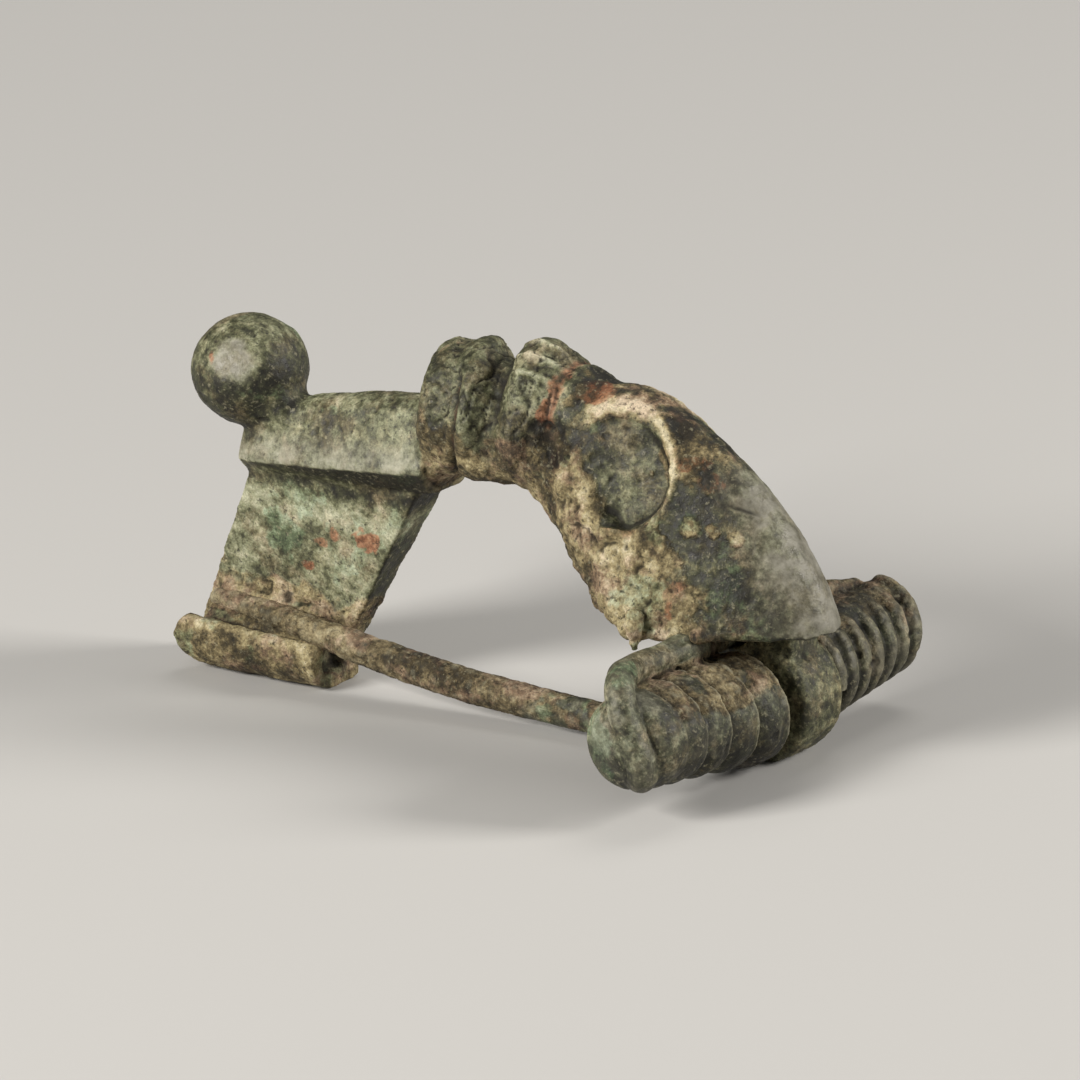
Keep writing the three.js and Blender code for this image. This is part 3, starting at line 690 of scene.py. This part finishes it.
def near_coil(turn, along):
    """The broad coils: they step away from the lug in shrinking steps, rise and narrow towards their end."""
    steps = np.minimum(turn - NEAR["lead"] * (1 - np.cos(2 * np.pi * turn)) / 2, NEAR["turns"] - 0.5)
    y = NEAR["start"] - NEAR["pitch"] * steps + NEAR["narrowing"] * steps**2
    axis_z = NEAR["axis_z"] + NEAR["rise"] * (1 - (1 - along) ** 2)
    return y, axis_z, NEAR["radius"] - NEAR["taper"] * along - near_width(along)


def far_coil(turn, along):
    """The thin coils, from the far end back to the lug."""
    y = FAR["start"] - FAR["length"] * along
    return y, FAR["axis_z"] - FAR["fall"] * along, np.full_like(along, FAR["radius"] - FAR["wire"])


pin_points = [(-21.2, -1.9, 4.4), (-17, -1.9, 3.95), (-12.9, -1.9, 3.3), (-7.5, -1.85, 2.45), (-2, -1.7, 1.8)]
pin_points += [(4.5, -1.45, 1.38), (10.5, -1.5, 1.25), (14.5, -1.75, 1.22), (SPRING_X, -2.0, 1.38)]
pin_path = curve_through(np.array(pin_points) + (0, SHIFT_Y, 0), steps=30)
pin_radii = np.interp(pin_path[:, 0], (-21.2, -17, -12.9, -7.5, -2, 4.5), (0.5, 0.8, 0.9, 1.03, 1.06, 1.02))

# The end loop goes up across the last coil, and the chord runs on from it under the head, with
# a knuckle of crust where it passes the head's edge.
end_y = near_coil(np.array([NEAR["turns"]]), np.array([1.0]))[0][0]
up_the_end = [(0.3, 0, 3.1), (1.6, -0.7, 3.3), (1.75, -1.1, 4.4), (1.25, -1.2, 5.9)]
up_the_end += [(0.6, -1.15, 7.4), (0, -0.6, 8.5), (-0.7, 0.7, 8.8), (-1.2, 2.4, 8.7)]
chord = [(-1.2, -7.5, 8.5), (-1.2, -4.6, 8.3), (-1.6, -3.0, 7.7), (-1.9, -1, 7.5), (-1.6, 4.5, 8.0)]
chord += [(-1.5, 8, 7.9), (-1.4, 10.6, 7.5), (-0.8, 12.6, 7.3)]
loop_points = np.concatenate([np.array(up_the_end) + (0, end_y, 0), chord])
loop_path = curve_through(loop_points + (LOOP_X, SHIFT_Y, 0), steps=24)
loop_stops = (-12.5, -9, -7, -4.8, -3.6, -2, 9, 12.6)
loop_widths = (0.95, 0.9, 0.92, 1.1, 1.05, 0.75, 0.72, 0.6)
loop_radii = np.interp(loop_path[:, 1] - SHIFT_Y, loop_stops, loop_widths)

near_path = coil(NEAR["turns"], first_angle=0, at=near_coil)
near_radii = near_width(np.linspace(0, 1, len(near_path)))
far_path = coil(-FAR["turns"], first_angle=np.pi * 1.05, at=far_coil)
parts = [
    tube(pin_path, pin_radii, aside=(0, 1, 0)),
    tube(near_path, near_radii, aside=(0, 1, 0), section=banded, sides=40),
    tube(loop_path, loop_radii, aside=(1, -1, 1)),
    tube(far_path, FAR["wire"], aside=(0, 1, 0)),
    filling(ends=(-0.9, -14.3), axis_z=(3.75, 5.0), radius=(3.3, 2.55), top=0.34),
    filling(ends=(4.6, 13.9), axis_z=(3.9, 4.8), radius=(2.7, 2.6), top=0.4),
]
wire = one_object("bronze_wire", parts)
wire_skin = even_skin(wire, cell=0.13)
skin, wire_edges, wire_faces = read_skin(wire_skin)
skin = relaxed(skin, wire_edges, rounds=3, pull=0.4)
normal = outward(skin, wire_faces)
x, y, z = skin.T
y = y - SHIFT_Y

# Where the parts of the wire are, and what has grown on them.
wander = cloud(skin, size=1.8, seed=81)
on_pin = 1 - ease(x, 13.5, 14.5)
in_the_catch = 1 - ease(x, -14, -12)
on_near = (1 - on_pin) * (1 - ease(y, -0.6, -0.2)) * (1 - ease(z, 7.6, 8.6))
at_end = 1 - ease(y, -13.3, -12.4)
on_far = ease(y, 4.3, 4.9)
over_top = on_near * ease(z - 0.35 * (x - SPRING_X) + 1.2 * wander, 4.2, 6.0) * ease(y, -12.5, -10.5)
bare_pin = 0.9 * ease(x + 1.5 * wander, 1.5, 5.0) * ease(wander, -0.4, 0.3)
crust = on_pin * (1 - bare_pin) + over_top + 0.6 * on_far * ease(z + wander, 6.2, 7.2)
crust = np.clip(crust, 0, 1)
verdigris = (
    1.3 * patch(skin, (16.0, -13.3, 4.3), (1.2, 1.4, 2.6), ragged=0.5, seed=91)
    + patch(skin, (17.2, -12.8, 8.9), (1.0, 1.6, 1.5), ragged=0.5, seed=92)
    + 0.7 * on_pin * ease(x, 1, 3) * ease(cloud(skin, size=1.4, seed=93, octaves=3), 0.15, 0.5)
)
verdigris = np.clip(verdigris, 0, 1)
cuprite = 0.6 * patch(skin, (16.0, -11.0, 7.6), (0.8, 1.6, 0.6), ragged=0.6, seed=94)
wear = 0.45 * (1 - crust) * ease(wander, 0.1, 0.7)

# Relief: a soft skin, crumbs of crust parted by creases, and scattered pits.
relief = 0.03 * cloud(skin, size=0.9, seed=83, octaves=3)
crumbs = np.abs(lattice(skin, size=0.9, seed=85)) + 0.6 * np.abs(lattice(skin, size=0.5, seed=86))
relief += crust * (0.17 * crumbs - 0.08) * (1 - 0.5 * on_pin)
relief -= 0.1 * ease(lattice(skin, size=0.7, seed=87), 0.62, 0.95) * (1 - 0.5 * crust)
skin = skin + relief[:, None] * normal
skin[:, 2] = np.maximum(skin[:, 2], LOWEST)

# Darker hollows and paler ridges, and one turn worn free of its crust.
smooth = relaxed(skin, wire_edges, rounds=14, pull=0.6)
depth = ((smooth - skin) * outward(skin, wire_faces)).sum(1)
hollow = np.clip(depth / 0.1, -1, 1)
smooth_turn = patch(skin, (18.9, -7.6, 6.6), (1.0, 0.9, 1.6), ragged=0.2, seed=97)
crust = crust * (1 - smooth_turn)
tone = (
    -0.1 * on_pin
    + 0.8 * on_pin * patch(skin, (-11.4, -2.7, 3.6), (2.2, 1.0, 0.8), ragged=0.4, seed=98)
    + 0.9 * in_the_catch
    + 0.1 * over_top
    - 0.3 * on_far
    # painted shade: the coils made darker towards their bottoms
    - 1.3 * (1 - on_pin) * (1 - ease(z, 2.0, 6.0))
    - 0.6 * smooth_turn
    + 0.1 * at_end * ease(z, 2, 4)
)
write_skin(
    wire_skin,
    skin,
    crust=crust,
    cuprite=cuprite,
    wear=wear,
    hollow=hollow,
    verdigris=verdigris,
    tone=tone,
)

# Wire bronze patina: the same grey-green minerals as the casting, darker and duller, since
# a drawn wire has no polished skin to keep.
wire_patina = patina(
    "drawn wire patina",
    skin=((0.34, "#12120a"), (0.45, "#2d2e1d"), (0.52, "#4c4e39"), (0.6, "#747760"), (0.74, "#a9ab94")),
    earth=((0.34, "#1f1a0f"), (0.45, "#403723"), (0.52, "#685c42"), (0.6, "#8f8262"), (0.74, "#c2b694")),
    rough=0.56,
)
wire_skin.materials.append(wire_patina)
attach(wire, "root")
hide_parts("spring_and_pin")

# ---- Floor, light and camera ----
# A plain pale table under soft studio light: a broad key from the upper left, a weaker one
# from the right along the bow's front, and a low even surround.

EDGE = 3.0  # metres from the brooch to each edge of the table
ground = bpy.data.meshes.new("floor")
table_corners = [(-EDGE, -EDGE, 0), (EDGE, -EDGE, 0), (EDGE, EDGE, 0), (-EDGE, EDGE, 0)]
ground.from_pydata(table_corners, [], [(0, 1, 2, 3)])
floor_piece = bpy.data.objects.new("floor", ground)
bpy.context.scene.collection.objects.link(floor_piece)
paper = bpy.data.materials.new("matt paper")
paper.use_nodes = True
paper.node_tree.nodes["Principled BSDF"].inputs["Base Color"].default_value = linear("#c3c2bf")
paper.node_tree.nodes["Principled BSDF"].inputs["Roughness"].default_value = 0.9
ground.materials.append(paper)

# The camera looks down on the catch's side from the head's end, from far off, tilted a little.
CAMERA_DISTANCE = 2.18  # metres, as are the places below
target = Vector((0.00446, -0.00317, 0.01292))
facing = Vector((0.557, -0.766, 0.321)).normalized()
right = Vector((0.81425, 0.57983, -0.0281)).normalized()
up = facing.cross(right).normalized()
right = up.cross(facing)

lens = bpy.data.cameras.new("camera")
lens.lens = 1200.0
lens.sensor_width = 36.0
lens.clip_start = 0.01
camera = bpy.data.objects.new("camera", lens)
turn = Matrix((right, up, facing)).transposed()
camera.matrix_world = Matrix.Translation(target + CAMERA_DISTANCE * facing) @ turn.to_4x4()
bpy.context.scene.collection.objects.link(camera)
bpy.context.scene.camera = camera

LAMP_DISTANCE = 0.6


def soft_light(name, direction, size, watts):
    """A square area light in a direction from the brooch, turned to face it."""
    lamp = bpy.data.lights.new(name, "AREA")
    lamp.size = size
    lamp.energy = watts
    lamp.color = linear("#fffbf6")[:3]
    made = bpy.data.objects.new(name, lamp)
    away = Vector(direction).normalized()
    made.location = target + LAMP_DISTANCE * away
    made.rotation_euler = away.to_track_quat("Z", "Y").to_euler()
    bpy.context.scene.collection.objects.link(made)


soft_light("key", (-0.4, -0.92, 0.55), size=0.2, watts=4.0)
soft_light("side", (0.9, 0.45, 0.5), size=0.22, watts=3.0)
soft_light("top", (-0.1, 0.5, 1.0), size=0.3, watts=0.7)
world = bpy.data.worlds.new("surround")
world.use_nodes = True
world.node_tree.nodes["Background"].inputs["Color"].default_value = linear("#f2f2f2")
world.node_tree.nodes["Background"].inputs["Strength"].default_value = 0.13
bpy.context.scene.world = world
bpy.context.scene.view_settings.view_transform = "Standard"
